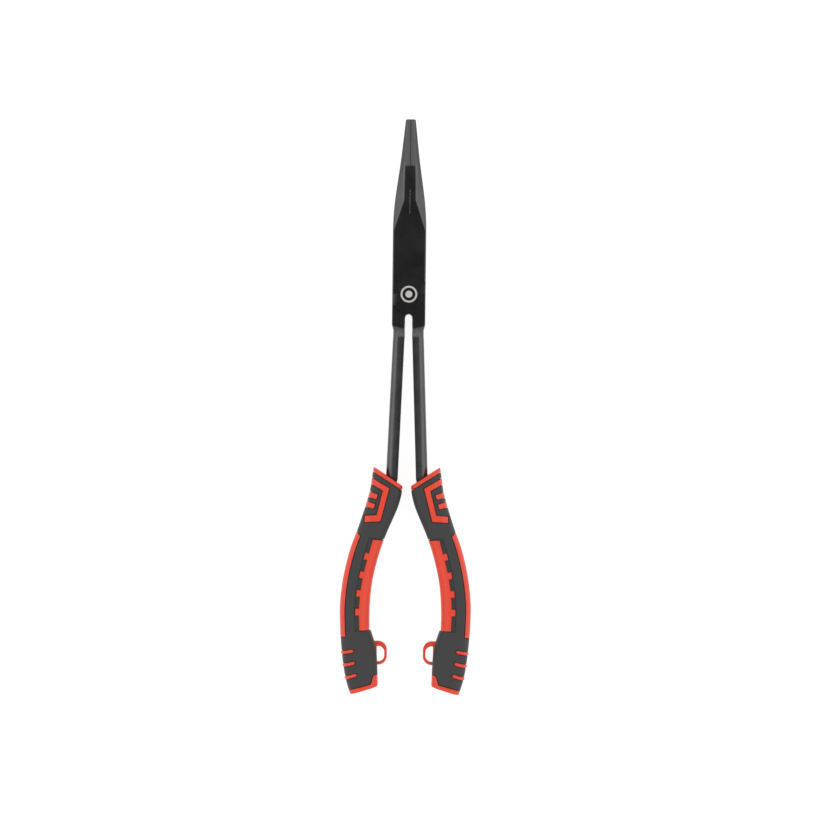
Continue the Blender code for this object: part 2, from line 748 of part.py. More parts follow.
lever = finished(lever_mesh(), black_steel)
core = finished(core_mesh(), red_plastic)
overmould = finished(overmould_mesh(), grey_rubber)
rivet = finished(turned("pivot_rivet_body", rivet_profile()).data, black_steel)

front_half = half_empty("front_half", turned_over=False)
rear_half = half_empty("rear_half", turned_over=True)
for half, end, hand in ((front_half, "front", "right"), (rear_half, "rear", "left")):
    place(f"{end}_lever", lever, half)
    place(f"{hand}_grip_core", core, half)
    place(f"{hand}_grip_overmould", overmould, half)
place("pivot_rivet", rivet, rear_half)
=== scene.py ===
# %% [markdown]
# # Long-reach needle-nose pliers
#
# The real tool is a pair of forged steel levers, oiled black, that cross at a lap joint and
# turn on one rivet. Each handle is moulded twice: first a hard red core with a lanyard loop,
# then a soft grey sleeve whose windows let the red show. One half of the tool is the other
# half turned over, so this lesson draws every piece about the rivet, and one of two matrices
# then sets it down. The solid model that is loaded first gives the size and place of it all.

# %% Load the frame
import json
import math

import bmesh
import bpy
from mathutils import Matrix, Vector


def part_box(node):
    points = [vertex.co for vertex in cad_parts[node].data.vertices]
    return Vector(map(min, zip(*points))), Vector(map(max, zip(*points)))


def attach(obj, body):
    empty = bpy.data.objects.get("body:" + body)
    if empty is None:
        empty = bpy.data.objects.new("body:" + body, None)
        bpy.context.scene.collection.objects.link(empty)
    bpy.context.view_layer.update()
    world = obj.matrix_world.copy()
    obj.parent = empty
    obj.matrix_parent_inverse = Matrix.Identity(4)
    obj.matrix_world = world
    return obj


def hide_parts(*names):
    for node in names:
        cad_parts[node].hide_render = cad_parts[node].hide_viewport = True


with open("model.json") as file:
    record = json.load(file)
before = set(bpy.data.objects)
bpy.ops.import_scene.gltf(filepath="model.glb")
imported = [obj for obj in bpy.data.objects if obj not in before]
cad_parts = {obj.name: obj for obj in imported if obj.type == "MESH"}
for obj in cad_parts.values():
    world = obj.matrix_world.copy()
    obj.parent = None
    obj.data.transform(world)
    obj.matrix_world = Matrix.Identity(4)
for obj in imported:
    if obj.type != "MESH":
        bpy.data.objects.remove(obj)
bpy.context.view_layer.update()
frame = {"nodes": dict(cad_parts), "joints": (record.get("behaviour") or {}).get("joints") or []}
print("loaded", sorted(frame["nodes"]))

# %% [markdown]
# ## Driving sizes
#
# A maker works in millimetres, and so do the shapes below: they are drawn about the rivet,
# with X across the tool, Y towards the tips and Z up. The overall sizes are read from the
# solid model, so the finer shapes here can never drift away from it.

# %% Read the driving sizes from the frame
MM = 0.001

pivot = Vector(frame["joints"][0]["pos_m"])
lever_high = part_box("front_lever")[1] - pivot
grip_low, grip_high = (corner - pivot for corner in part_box("right_grip_core"))

JAW_REACH = lever_high.y / MM
HEAD_TOP = lever_high.z / MM
GRIP_TOP = grip_high.z / MM
GRIP_END_Y = grip_low.y / MM
HEAD_SIDE = 8.1
TO_HALF = {
    "front_half": Matrix.Translation(pivot) @ Matrix.Scale(MM, 4),
    "rear_half": Matrix.Translation(pivot) @ Matrix.Rotation(math.pi, 4, "Y") @ Matrix.Scale(MM, 4),
}
print(f"jaws {JAW_REACH:.1f} mm, handles {-GRIP_END_Y:.1f} mm, head {2 * HEAD_TOP:.1f} mm thick")

# %% [markdown]
# ## Modelling helpers
#
# Most of the tool is made of long bodies whose section changes slowly, which a modeller
# would loft: draw a section at each station and bridge each to the next. Holes and the
# joint's round shoulders are cut afterwards with solids of their own.


# %% Curves through known places
def along(place, knots):
    """Straight-line interpolation through (place, value) knots in rising order."""
    if place <= knots[0][0]:
        return knots[0][1]
    for (low, first), (high, last) in zip(knots, knots[1:]):
        if place <= high:
            return first + (last - first) * (place - low) / (high - low)
    return knots[-1][1]


def smooth_along(place, rows):
    """A smooth curve through rows of (place, values...), straight past either end."""
    rows = sorted(rows)
    last = len(rows) - 1
    slopes = []
    for i in range(len(rows)):
        low, high = rows[max(i - 1, 0)], rows[min(i + 1, last)]
        slopes.append([(b - a) / (high[0] - low[0]) for a, b in zip(low[1:], high[1:])])
    for end, past in ((0, place < rows[0][0]), (last, place > rows[last][0])):
        if past:
            run = place - rows[end][0]
            return [value + slope * run for value, slope in zip(rows[end][1:], slopes[end])]
    i = min(sum(row[0] <= place for row in rows[1:]), last - 1)
    span = rows[i + 1][0] - rows[i][0]
    t = (place - rows[i][0]) / span
    values = []
    for a, slope_a, b, slope_b in zip(rows[i][1:], slopes[i], rows[i + 1][1:], slopes[i + 1]):
        rise = b - a
        bend_in, bend_out = slope_a * span - rise, rise - slope_b * span
        values.append(a + rise * t + t * (1 - t) * (bend_in * (1 - t) + bend_out * t))
    return values


def rounded(corners, steps):
    """The points of a closed outline through (u, v, radius) corners, each rounded as an arc."""
    points = []
    for i, (u, v, radius) in enumerate(corners):
        here = Vector((u, v))
        if radius == 0:
            points.append(tuple(here))
            continue
        back = (Vector(corners[i - 1][:2]) - here).normalized()
        ahead = (Vector(corners[(i + 1) % len(corners)][:2]) - here).normalized()
        half = back.angle(ahead) / 2
        centre = here + (back + ahead).normalized() * radius / math.sin(half)
        first = here + back * radius / math.tan(half) - centre
        sweep = math.copysign(math.pi - 2 * half, ahead.cross(back))
        for step in range(steps + 1):
            turn = sweep * step / steps
            x = first.x * math.cos(turn) - first.y * math.sin(turn)
            y = first.x * math.sin(turn) + first.y * math.cos(turn)
            points.append((centre.x + x, centre.y + y))
    return points


def widened(outline, gap):
    """The closed outline moved outwards by gap, with mitred corners."""
    area = sum(x0 * y1 - x1 * y0 for (x0, y0), (x1, y1) in zip(outline, outline[1:] + outline[:1]))
    side = gap * math.copysign(1, area)
    moved = []
    for i, (x, y) in enumerate(outline):
        here = Vector((x, y))
        before = (here - Vector(outline[i - 1])).normalized()
        after = (Vector(outline[(i + 1) % len(outline)]) - here).normalized()
        normals = Vector((before.y + after.y, -before.x - after.x))
        moved.append(tuple(here + side * normals / (1 + before.dot(after))))
    return moved


triangle = rounded(((0, 0, 1), (4, 0, 0), (0, 4, 0)), steps=3)
print("a triangle with one corner rounded in 3 steps has", len(triangle), "points")


# %% A solid from sections
def as_object(name, bm):
    """A finished bmesh as an object, with its faces turned outwards."""
    bmesh.ops.recalc_face_normals(bm, faces=bm.faces)
    mesh = bpy.data.meshes.new(name)
    bm.to_mesh(mesh)
    bm.free()
    obj = bpy.data.objects.new(name, mesh)
    bpy.context.scene.collection.objects.link(obj)
    return obj


def loft(name, sections):
    """Closed sections of (x, y, z) points, each bridged to the next and capped at both ends."""
    bm = bmesh.new()
    loops = []
    for section in sections:
        corners = [bm.verts.new(point) for point in section]
        loops.append([bm.edges.new(pair) for pair in zip(corners, corners[1:] + corners[:1])])
    for near, far in zip(loops, loops[1:]):
        bmesh.ops.bridge_loops(bm, edges=near + far)
    for end in (loops[0], loops[-1]):
        bmesh.ops.contextual_create(bm, geom=end)
    return as_object(name, bm)


# %% Solids from outlines and profiles, and cutting one with another
def turned(name, profile, segments=96):
    """A solid of revolution about the rivet's axis, from (radius, z) points."""
    bm = bmesh.new()
    points = [bm.verts.new((radius, 0, z)) for radius, z in profile]
    edges = [bm.edges.new(pair) for pair in zip(points, points[1:])]
    bmesh.ops.spin(
        bm, geom=points + edges, axis=(0, 0, 1), cent=(0, 0, 0),
        angle=2 * math.pi, steps=segments, use_merge=True,
    )
    bmesh.ops.remove_doubles(bm, verts=bm.verts, dist=1e-4)
    return as_object(name, bm)


OVERRUN = 0.3


def flared_prism(name, outline, top, flare):
    """An outline raised through the part, opening by flare at both faces as a countersink does."""
    past = math.copysign(OVERRUN, flare)
    levels = (
        (-top - OVERRUN, flare + past),
        (-top + abs(flare), 0),
        (top - abs(flare), 0),
        (top + OVERRUN, flare + past),
    )
    return loft(name, [[(x, y, z) for x, y in widened(outline, gap)] for z, gap in levels])


def combined(base, operation, *tools):
    """The base after an exact Boolean with each tool in turn. The tools are used up."""
    for tool in tools:
        modifier = base.modifiers.new(operation, "BOOLEAN")
        modifier.operation = operation
        modifier.solver = "EXACT"
        modifier.object = tool
        graph = bpy.context.evaluated_depsgraph_get()
        mesh = bpy.data.meshes.new_from_object(base.evaluated_get(graph))
        base.modifiers.clear()
        base.data = mesh
        bpy.data.objects.remove(tool)
    return base


# %% [markdown]
# ## The jaws
#
# Each jaw is forged, then ground: two flat panels beside the seam, a facet that falls away
# to an upright outer side, and a sloping flat over the last 23 mm of the nose. A loft whose
# sections have rounded corners, and a narrow steep groove at the seam, follows all of that.
# The gripping face is milled with cross serrations, made here by stations half a tooth apart
# that step in and out. One lever's teeth stand where the other's gaps are, so they close
# with no light between them. Behind the teeth the faces are ground back a hair, and there a
# thin slit of light shows. All distances along the jaw are measured back from the tip.

# %% The jaw's sizes
NOSE_LENGTH = 23.0
FACET_LENGTH = 39.5
FACET_END = FACET_LENGTH + 15.0
SEAM = 0.001
SLIT_DEPTH = 0.015
SLIT_ENDS = (46.8, 33.4)
SLIT_RUNOUT = 0.5
SERRATION_ENDS = (32.4, 1.6)
SERRATION_PITCH = 1.2
SERRATION_DEPTH = 0.26
TIP_ROUNDING = 0.9
TIP_SHARES = (0.1, 0.3, 0.6, 1.0)
SIDE_EDGE = 0.3
NARROWEST_FACET = 0.5
GROOVE_STEEPNESS = 4

# Each row is (distance from the tip, size there).
HALF_THICKNESSES = ((0, 2.0), (NOSE_LENGTH, HEAD_TOP))
PANEL_WIDTHS = ((0, 1.6), (NOSE_LENGTH, 3.1), (FACET_LENGTH, 3.1), (FACET_END, HEAD_SIDE - 0.4))
PANEL_EDGES = ((0, 1.0), (NOSE_LENGTH, 2.0), (FACET_LENGTH, 2.0), (FACET_END, 0.3))
FACET_DROPS = ((0, 0.7), (NOSE_LENGTH, 1.8), (FACET_LENGTH, 2.6), (FACET_END, 0.4))
SEAM_GROOVE = ((NOSE_LENGTH - 0.2, 0.12), (NOSE_LENGTH + 0.2, 0.02))

OUTER_EDGE = rounded(
    (
        (0, JAW_REACH, 0),
        (2.4, JAW_REACH, 0.8),
        (4.5, JAW_REACH - 20, 300),
        (HEAD_SIDE, JAW_REACH - 45, 140),
        (HEAD_SIDE, 0, 0),
    ),
    steps=8,
)
OUTER_EDGE_BY_Y = sorted((y, x) for x, y in OUTER_EDGE[1:])
near_tip = along(JAW_REACH - 2, OUTER_EDGE_BY_Y)
print(f"one jaw narrows from {HEAD_SIDE:.1f} mm to {near_tip:.1f} mm near its tip")


# %% Loft one jaw
def jaw_section(y, inward):
    """The left jaw's rounded section at y, with its gripping face set back by inward."""
    back = JAW_REACH - y
    width = along(y, OUTER_EDGE_BY_Y)
    rounding = max(0, TIP_ROUNDING - back)
    top = along(back, HALF_THICKNESSES) - (TIP_ROUNDING - math.sqrt(TIP_ROUNDING**2 - rounding**2))
    panel = min(along(back, PANEL_WIDTHS), width - NARROWEST_FACET)
    seam, groove = SEAM + inward, along(back, SEAM_GROOVE)
    upper = (
        (-seam, top - GROOVE_STEEPNESS * groove, 0),
        (-seam - groove, top, 0),
        (-panel, top, along(back, PANEL_EDGES)),
        (-width, top - along(back, FACET_DROPS), SIDE_EDGE),
    )
    lower = tuple((x, -z, radius) for x, z, radius in reversed(upper))
    return [(x, y, z) for x, z in rounded(upper + lower, steps=2)]


def jaw_stations(phase):
    """(y, set-back of the gripping face) along one jaw. The phase is +1 or -1 for the two levers."""
    slit_low, slit_high = (JAW_REACH - back for back in SLIT_ENDS)
    first, last = (JAW_REACH - back for back in SERRATION_ENDS)
    places = [y for y, _ in OUTER_EDGE_BY_Y] + [JAW_REACH - FACET_LENGTH, JAW_REACH - FACET_END]
    places += [JAW_REACH - TIP_ROUNDING * share for share in TIP_SHARES]
    places = [y for y in places if not first <= y <= last]
    stations = {y: SLIT_DEPTH if slit_low < y < slit_high else 0.0 for y in places}
    stations.update({slit_low: 0.0, slit_low + SLIT_RUNOUT: SLIT_DEPTH})
    stations.update({slit_high: 0.0, slit_high - SLIT_RUNOUT: SLIT_DEPTH})
    for i in range(int((last - first) / SERRATION_PITCH * 2) + 1):
        crest = 1 if i % 2 else -1
        stations[first + i * SERRATION_PITCH / 2] = phase * crest * SERRATION_DEPTH / 2
    return sorted(stations.items())


print(len(jaw_stations(1)), "stations along each jaw")

# %% [markdown]
# ## The lap joint and the arms
#
# Behind the jaw the lever thins to half: a round cheek that lies on the other lever's cheek.
# A milling cutter leaves a round shoulder there, so a turned solid cuts it here too, with a
# small countersink that breaks the edge. The arm leaves the far side of the cheek through a
# root as thick as the head and a short scooped step. It is slightly crowned on top, square
# on the inside and widely rounded outside, and it ends in the tang inside the grip. Only
# the arm and the tang, made a little larger, are what the grip's socket is cut with.

# %% The joint's and the arm's sizes
LAP_RADIUS = 9.6
LAP_FIT = 0.04
CHEEK_FIT = 0.03
EDGE_BREAK = 0.1
SLOT_HALF = 1.7
SLOT_TOP = 9.7
WEB_END = -SLOT_TOP - SLOT_HALF - 0.2
SHOULDER_END = 14.5
ROOT_LENGTH = 16.1
ROOT_FIT = 0.03
ROOT_ROUND = 0.4
STEP_LENGTH = 5.2
STEP_SHARES = (0.0, 0.12, 0.35, 0.55, 0.75, 0.9)
STEP_NARROWED = 0.35
STEP_SCOOP = 2.2
STEP_TILT = 0.26
ARM_START = 19.0
ARM_MIDDLE, ARM_SPREAD, ARM_END_MIDDLE = 4.6, 2.7, 7.3
ARM_HALF_WIDTH, ARM_WIDENING = 2.85, 0.05
ARM_HALF_THICKNESS = 3.3
ARM_INNER_ROUND = 0.45
ARM_ROUND, ARM_ROUND_GROWTH, ARM_FALL = 2.5, 0.3, 2.5
CROWN = 0.125
NECK_X_SHARE, NECK_Y_SHARE = 0.22, 0.4
TANG = (2.7, 2.5, 1.0, 1.0)
TANG_TOP_SHARE, TANG_END = 0.82, 16
RIVET_HEAD = 4.5
RIVET_SHANK = 3.0
RIVET_HEAD_DEPTH = 1.5
print(f"the cheeks' shoulders are {LAP_RADIUS:.1f} mm in radius, and the slot {2 * SLOT_HALF:.1f} mm wide")


# %% Sections of the arm
def bar_section(x, y, tilt, half_width, half_thickness, across, fall):
    """A bar's section: small round corners inside, and a wide elliptical round outside."""
    inner, upper = ARM_INNER_ROUND, []
    crown = half_thickness - CROWN * (across - ROOT_ROUND)
    for step in range(4):
        turn = math.pi * (1 - step / 6)
        u, z = inner * (1 + math.cos(turn)), inner * (1 - math.sin(turn))
        upper.append((u - half_width, half_thickness - z))
    for step in range(7):
        turn = math.pi / 2 * (1 - step / 6)
        upper.append(
            (half_width - across * (1 - math.cos(turn)), crown - fall * (1 - math.sin(turn)))
        )
    section = upper + [(u, -z) for u, z in reversed(upper)]
    return [(x + u * math.cos(tilt), y + u * math.sin(tilt), z) for u, z in section]


def root_rows():
    """The web that closes the slot's top, the root beside the slot, and the scooped step."""
    rows = []
    beside_slot = (WEB_END - 0.01, -SHOULDER_END)
    for inner, places in ((ROOT_FIT, (0.0, WEB_END)), (SLOT_HALF + ROOT_FIT, beside_slot)):
        root = ((HEAD_SIDE + inner) / 2, (HEAD_SIDE - inner) / 2, HEAD_TOP, ROOT_ROUND, ROOT_ROUND)
        rows += [(root[0], y, 0.0, *root[1:]) for y in places]
    arm = (ARM_MIDDLE, ARM_HALF_WIDTH, ARM_HALF_THICKNESS, ARM_ROUND, ARM_FALL)
    for share in STEP_SHARES:
        narrowed, thinned = min(1.0, share / STEP_NARROWED), 1 - (1 - share) ** STEP_SCOOP
        shares = (narrowed, narrowed, thinned, thinned, thinned)
        middle, *sizes = (a + (b - a) * part for a, b, part in zip(root, arm, shares))
        rows.append((middle, -ROOT_LENGTH - STEP_LENGTH * share, STEP_TILT * (1 - share), *sizes))
    return rows


def arm_rows():
    """The arm from the step to the grip's mouth, its neck, and the tang to its end."""
    mouth_x, mouth_y, _, mouth_tilt = grip_station(GRIP_MOUTH)
    end_y = mouth_y - (mouth_x - ARM_END_MIDDLE) * math.tan(mouth_tilt)
    step_y = -ROOT_LENGTH - STEP_LENGTH
    rows = []
    for y in [step_y + (end_y - step_y) * i / 4 for i in range(5)]:
        share = (y + ARM_START) / (end_y + ARM_START)
        sizes = (ARM_HALF_WIDTH + ARM_WIDENING * share, ARM_HALF_THICKNESS)
        rounds = (ARM_ROUND + ARM_ROUND_GROWTH * share, ARM_FALL)
        rows.append((ARM_MIDDLE + ARM_SPREAD * share, y, 0.0, *sizes, *rounds))
    start = TANG_TOP_SHARE * GRIP_LENGTH
    x, y, _, tilt = grip_station(start)
    neck_x = ARM_END_MIDDLE + NECK_X_SHARE * (x - ARM_END_MIDDLE)
    rows.append((neck_x, end_y + NECK_Y_SHARE * (y - end_y), tilt / 2, *TANG))
    for i in range(8):
        x, y, _, tilt = grip_station(start + (TANG_END - start) * i / 7)
        rows.append((x, y, tilt, *TANG))
    return rows


def arm_sections(gap=0.0):
    """The sections from the rivet to the tang's end. With a gap they are the grip's socket."""
    rows = arm_rows()
    if gap:
        x, y, tilt = rows[-1][:3]
        rows.append((x, y - gap, tilt, *TANG))
    else:
        rows = root_rows() + rows
    return [
        bar_section(x, y, tilt, half_width + gap, half_thickness + gap, across, fall)
        for x, y, tilt, half_width, half_thickness, across, fall in rows
    ]


print(len(root_rows()), "sections from the rivet to the foot of the step")

# %% [markdown]
# ## The grip's form
#
# A grip is one smooth body with a rounded rectangular section, flat above and below. Its
# plan swings out, runs down and flares, and the finger side has a small lip two thirds of
# the way down. The rows below are its centre line from the rivet's end: the height as a
# share of the grip's length, the distance from the tool's centre line, the width and the
# tilt of the section. Every window and stripe is then placed by height and by depth from
# the back edge, so that it follows the curve of the handle.

# %% The grip's plan
GRIP_LENGTH = 110.7
BACK_CORNER = 5.0
FINGER_CORNER = 4.2
GRIP_WALL = 1.4
RIM_ROUNDING = 0.5
PALM = (
    (0.958, 9.1, 17.0, 33.5),
    (0.912, 9.8, 16.7, 30.5),
    (0.854, 11.2, 15.7, 29.0),
    (0.718, 16.6, 13.9, 23.5),
    (0.622, 20.3, 14.2, 17.7),
    (0.505, 23.3, 14.3, 9.7),
    (0.389, 24.6, 14.5, 3.1),
    (0.283, 24.5, 14.2, -0.8),
)
FLARE = (
    (0.277, 24.1, 14.9, -1.0),
    (0.197, 22.4, 16.7, -5.8),
    (0.139, 21.7, 16.5, -9.1),
    (0.080, 20.9, 15.7, -12.9),
    (0.019, 19.7, 14.0, -17.4),
)
GRIP_MOUTH = PALM[0][0] * GRIP_LENGTH
GRIP_LIP = PALM[-1][0] * GRIP_LENGTH
FLARE_START = FLARE[0][0] * GRIP_LENGTH
GRIP_BOTTOM = FLARE[-1][0] * GRIP_LENGTH


def grip_station(height):
    """Centre x and y, width and tilt of the section at a height above the grip's end."""
    share = height / GRIP_LENGTH
    rows = PALM if height > (GRIP_LIP + FLARE_START) / 2 else FLARE
    x, width, tilt = smooth_along(share, rows)
    return x, GRIP_END_Y + height, width, math.radians(tilt)


def grip_point(height, depth):
    """The place on the plan this far in from the back edge."""
    x, y, width, tilt = grip_station(height)
    reach = width / 2 - depth
    return x + reach * math.cos(tilt), y + reach * math.sin(tilt)


print(f"down its middle the grip is {GRIP_MOUTH - GRIP_BOTTOM:.1f} mm long")

# %% The grip's sections
CORNER_STEPS = 10
PALM_STEPS, FLARE_STEPS, RIM_STEPS = 60, 26, 3


def grip_section(height, inset):
    """The section drawn in by inset, a number or a rule that takes a height and a depth."""
    x, y, width, tilt = grip_station(height)
    section = []
    corners = ((1, 1, BACK_CORNER), (-1, 1, FINGER_CORNER), (-1, -1, FINGER_CORNER), (1, -1, BACK_CORNER))
    for quarter, (side, up, radius) in enumerate(corners):
        for step in range(CORNER_STEPS + 1):
            turn = math.pi / 2 * (quarter + step / CORNER_STEPS)
            depth = width / 2 - side * (width / 2 - radius) - radius * math.cos(turn)
            drawn = radius - (inset(height, depth) if callable(inset) else inset)
            u = side * (width / 2 - radius) + drawn * math.cos(turn)
            z = up * (GRIP_TOP - radius) + drawn * math.sin(turn)
            section.append((x + u * math.cos(tilt), y + u * math.sin(tilt), z))
    return section


print(len(grip_section(GRIP_LIP, 0)), "points in each section of the grip")


def grip_solid(name, inset=0.0, overrun=0.0, rim=0.0):
    """The grip's body, drawn in by inset, with both ends run out or their edges rounded."""
    stations = []
    palm, flare = (GRIP_MOUTH, GRIP_LIP, PALM_STEPS), (FLARE_START, GRIP_BOTTOM, FLARE_STEPS)
    for high, low, count in (palm, flare):
        stations += [(high + (low - high) * i / count, inset) for i in range(count + 1)]
    if rim:
        turns = [math.pi / 2 * i / RIM_STEPS for i in range(RIM_STEPS + 1)]
        first = [(GRIP_MOUTH - rim * (1 - math.sin(t)), rim * (1 - math.cos(t))) for t in reversed(turns)]
        last = [(GRIP_BOTTOM + rim * (1 - math.sin(t)), rim * (1 - math.cos(t))) for t in turns]
        stations = first + stations[1:-1] + last
    if overrun < 0:
        stations = stations[2:-2]
    elif overrun:
        stations = [(GRIP_MOUTH + overrun, inset)] + stations + [(GRIP_BOTTOM - overrun, inset)]
    return loft(name, [grip_section(height, drawn) for height, drawn in stations])


# %% [markdown]
# ## The windows
#
# The sleeve is moulded over the core with windows in it: a rim at the mouth, an angular
# stripe with two bars beside it, a thin strip down the back edge, a toothed finger pad,
# three ribs, and a band round the end. Each outline is a few corners given as (distance
# below a starting height, depth from the back edge). OUT lies past the back edge, and
# ACROSS past the finger edge, so that a window runs right round that side.

# %% The windows' outlines
OUT = 3.0
ACROSS = 22.0
CURVE_POINTS = 18
RIM = ((2.0, -OUT), (2.0, ACROSS), (-OUT, ACROSS), (-OUT, -OUT))
STRIPE = (
    (4.9, -OUT), (4.9, 9.9), (20.8, 9.3), (24.2, 2.0), (21.7, 1.2), (19.0, 6.6), (7.5, 6.7), (7.5, -OUT)
)
BAR = ((0, -OUT), (-1.2, 4.3), (0.9, 4.3), (2.6, -OUT))
BAR_DROPS = (11.7, 16.1)
RIB_RISE = 0.0875
RIB = ((-0.25, -OUT), (-0.95, 5.0), (-0.6, 5.7), (0.1, 5.7), (0.55, 5.0), (1.25, -OUT))
RIB_HEIGHTS = tuple(GRIP_BOTTOM + 7.9 + 5.7 * i for i in range(3))
END_BAND = (
    (3, -OUT), (3, ACROSS), (-6, ACROSS), (-6, 13.6), (-2, 11.2), (-2, -OUT)
)
STRIP_TOP, STRIP_BOTTOM = GRIP_MOUTH - 28.2, GRIP_LIP - 2.9
STRIP_DEPTH, STRIP_TAPER = 2.4, 2.4
PAD_TOP = GRIP_MOUTH - 30.0
PAD_DEPTH = 9.4
PAD_SLANT = 4.6
PAD_TEETH = (GRIP_LIP + 9.0, PAD_TOP - 8.3)
PAD_CORNER, STEP_CORNER = 0.6, 0.3
TOOTH_DEPTH, TOOTH_HEIGHT, TOOTH_COUNT = 1.8, 3.2, 4


def marked(start, corners):
    """An outline on the plan, from its corners' places below a starting height."""
    return [grip_point(start - drop, depth) for drop, depth in corners]


def curve(first, last, depth):
    """Corners close together from one height to another, so that a long edge follows the grip."""
    return [(first + (last - first) * i / CURVE_POINTS, depth) for i in range(CURVE_POINTS + 1)]


def strip_outline():
    """The strip down the back edge, tapered at its top."""
    inner = curve(STRIP_TOP - STRIP_TAPER, STRIP_BOTTOM, STRIP_DEPTH)
    return [grip_point(*corner) for corner in inner + curve(STRIP_BOTTOM, STRIP_TOP, -OUT)]


def pad_outline(toothed):
    """The finger pad, with its square teeth or with one straight edge along their tips."""
    tip = PAD_DEPTH - TOOTH_DEPTH
    first, last = PAD_TEETH
    edge = [(PAD_TOP, PAD_DEPTH - PAD_CORNER if toothed else tip - STEP_CORNER)]
    for i in reversed(range(TOOTH_COUNT)):
        middle = first + (last - first) * i / (TOOTH_COUNT - 1)
        high, low = middle + TOOTH_HEIGHT / 2, middle - TOOTH_HEIGHT / 2
        if toothed:
            edge += [(high, PAD_DEPTH), (high, tip), (low, tip), (low, PAD_DEPTH)]
        else:
            edge += [(high, tip), (low, tip)]
    edge.append((GRIP_LIP, PAD_DEPTH if toothed else tip))
    return [grip_point(*corner) for corner in edge + curve(GRIP_LIP, PAD_TOP + PAD_SLANT, ACROSS)]


def window_outlines(toothed=True):
    """Every window but the ribs'."""
    outlines = [marked(GRIP_MOUTH, RIM), strip_outline(), pad_outline(toothed)]
    outlines += [marked(GRIP_BOTTOM, END_BAND), marked(GRIP_MOUTH, STRIPE)]
    return outlines + [marked(GRIP_MOUTH - drop, BAR) for drop in BAR_DROPS]


def rib_outlines():
    return [marked(height, RIB) for height in RIB_HEIGHTS]


print(len(window_outlines()), "windows and", len(rib_outlines()), "ribs on each grip")


# %% [markdown]
# ## The grey sleeve
#
# A two-shot mould shuts off against the core with a thin raised wall, which leaves a narrow
# groove in the rubber round every red shape. So the sleeve is two bodies joined: one at the
# surface with wide windows, and one 0.7 mm lower with windows that fit the red. Between the
# pad's teeth the lower body shows on its own, as a sunken step. The sleeve also leaves room
# for the foot of the lanyard loop, so the loop's outline comes first.

# %% The lanyard loop's outline
LOOP_REACH, LOOP_HEIGHT, LOOP_MIDDLE, LOOP_ROOT, LOOP_HALF = 5.0, 11.5, 18.1, 4.5, 1.5
LOOP_CORNER = 4.2


def loop_edges():
    """The far and near x, and the low and high y, of the lanyard loop."""
    x, y, width, _ = grip_station(GRIP_BOTTOM + LOOP_MIDDLE)
    near = x - width / 2
    return near - LOOP_REACH, near, y - LOOP_HEIGHT / 2, y + LOOP_HEIGHT / 2


def loop_outline():
    far, near, low, high = loop_edges()
    foot = near + LOOP_ROOT
    corners = ((foot, low, 0), (foot, high, 0), (far, high, LOOP_CORNER), (far, low, LOOP_CORNER))
    return rounded(corners, steps=8)


print(f"the loop stands {LOOP_REACH:.1f} mm out and is {LOOP_HEIGHT:.1f} mm high")

# %% Mould the sleeve
GROOVE_WIDTH = 0.4
GROOVE_DEPTH = 0.7
EDGE_SOFTENING = 0.14
MOULD_FIT = 0.02
LOOP_FIT = 0.1
SHARP = 0.01  # a flare too small to see


def sleeve_solid():
    upper = grip_solid("sleeve_upper")
    for outline in window_outlines(toothed=False) + rib_outlines():
        cutter = flared_prism("upper_window", widened(outline, GROOVE_WIDTH), GRIP_TOP, EDGE_SOFTENING)
        combined(upper, "DIFFERENCE", cutter)
    lower = grip_solid("sleeve_lower", GROOVE_DEPTH)
    for outline in window_outlines() + rib_outlines():
        cutter = flared_prism("lower_window", widened(outline, MOULD_FIT), GRIP_TOP, SHARP)
        combined(lower, "DIFFERENCE", cutter)
    sleeve = combined(upper, "UNION", lower)
    combined(sleeve, "DIFFERENCE", grip_solid("core_space", GRIP_WALL - 0.05, OUT))
    foot = flared_prism("loop_foot", widened(loop_outline(), LOOP_FIT), LOOP_HALF, SHARP)
    return combined(sleeve, "DIFFERENCE", foot)


# %% [markdown]
# ## The red core
#
# Under the sleeve the core is a plain body with a socket for the tang. In each window it
# rises to the surface, with its edges broken. The ribs are fins that run round the back of
# the flare: their crests stand 0.4 mm proud and their flanks sink below the rubber, which
# is a change in the section's inset over a few close stations. Each fin dies away at its
# inner end. The loop is a plate with a hole, both with flared edges, as the mould leaves it.

# %% The ribs and the loop
RIB_CREST = 0.4
RIB_SINK = 0.35
RIB_DROP = 0.24
RIB_FLANK = 0.85
RIB_END, RIB_FADE = 4.6, 2.2
RIB_STATION = 0.15
LOOP_HOLE_WALLS = {"low": 1.5, "high": 2.4, "far": 1.2}
LOOP_HOLE_CORNER = 2.9
LOOP_EDGE, LOOP_HOLE_EDGE = 0.3, 0.35


def fin_inset(height, depth):
    """How far the core is drawn in on a rib: below zero at its crest, which stands proud."""
    middle = min(RIB_HEIGHTS, key=lambda rib: abs(rib - height))
    off_crest = abs(height - middle + RIB_DROP - RIB_RISE * depth)
    flank = min(1.0, off_crest / RIB_FLANK) ** 2
    fade = min(1.0, max(0.0, (RIB_END - depth) / RIB_FADE))
    return RIB_SINK * flank - RIB_CREST * fade * (1 - flank)


def fin_solid():
    stations = []
    for rib in reversed(RIB_HEIGHTS):
        stations += [rib + RIB_STATION * step for step in range(9, -9, -1)]
    return loft("fins", [grip_section(height, fin_inset) for height in stations])


